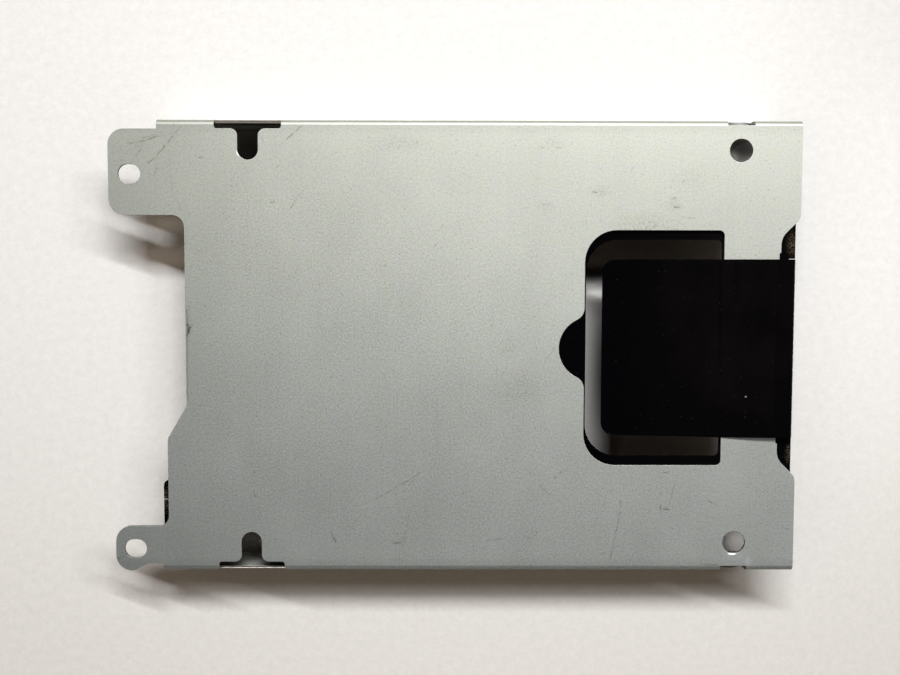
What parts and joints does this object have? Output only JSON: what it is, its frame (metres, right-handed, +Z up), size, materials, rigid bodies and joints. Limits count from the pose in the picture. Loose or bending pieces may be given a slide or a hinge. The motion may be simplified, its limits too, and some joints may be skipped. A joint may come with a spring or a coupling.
{
  "type": "laptop drive caddy",
  "caption": "Folded sheet-steel tray that screws round a laptop hard drive, with side flanges, screw ears and a window, lined with black insulating film whose pull tab folds back over one end.",
  "frame": {"origin": "under the middle of the whole footprint, on the surface that the side flanges stand on", "axes": "+X along the drive towards the pull tab, +Y across towards the wide ear, +Z up through the plate"},
  "size_m": [0.1078, 0.071, 0.0104],
  "materials": {
    "galvanised_sheet": "satin zinc-coated sheet with fine speckle, scuffs and scratches",
    "black_film": "smooth black plastic film, slightly glossy, with dust"
  },
  "bodies": {
    "root": {"drive_bracket": "galvanised_sheet", "insulator_film": "black_film"}
  },
  "joints": []
}
